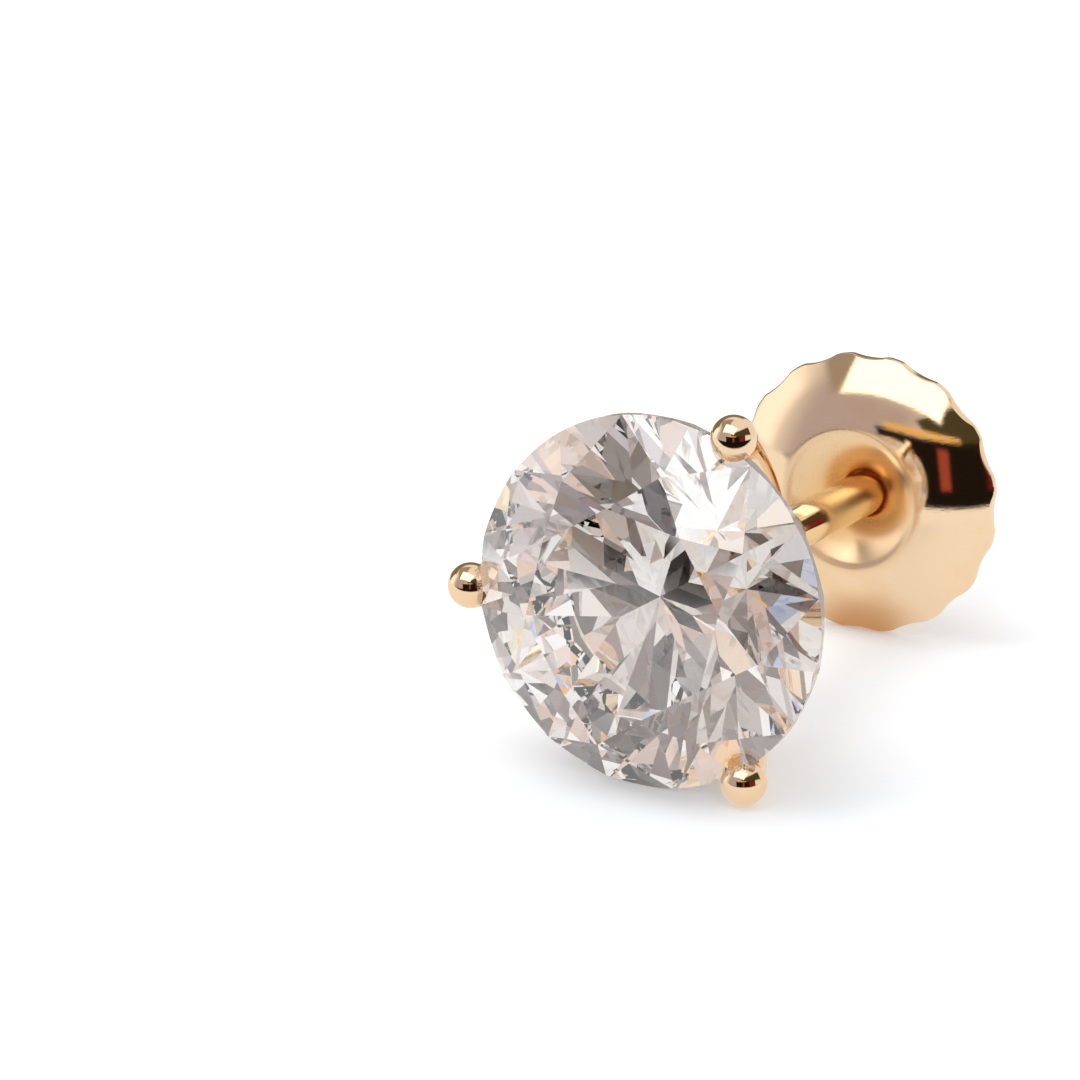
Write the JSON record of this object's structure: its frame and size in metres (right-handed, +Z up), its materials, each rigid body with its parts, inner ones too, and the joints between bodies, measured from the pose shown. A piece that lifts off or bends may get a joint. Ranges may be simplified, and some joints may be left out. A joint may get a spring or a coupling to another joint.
{
  "type": "stud earring",
  "caption": "Prong-set round brilliant stud earring with a straight post and a domed screw-on back, lying on its side.",
  "frame": {"origin": "bottom centre of the bounding box, on the surface that the earring lies on", "axes": "+Z up; the stone's table faces -Y; the post runs toward +Y, sloping down by 4.6 degrees; +X is to the right of a viewer who faces the stone"},
  "size_m": [0.007, 0.0144, 0.0067],
  "materials": {
    "stone": "faceted and polished",
    "gold": "polished yellow gold"
  },
  "bodies": {
    "stud": {"three_prong_setting": "gold", "round_stone": "stone"},
    "back": {"screw_back": "gold"}
  },
  "joints": [
    {"name": "back_travel", "type": "slide", "parent": "stud", "child": "back", "axis": [0, 0.9968, -0.0795], "range_m": [-0.0031, 0.0058]}
  ]
}
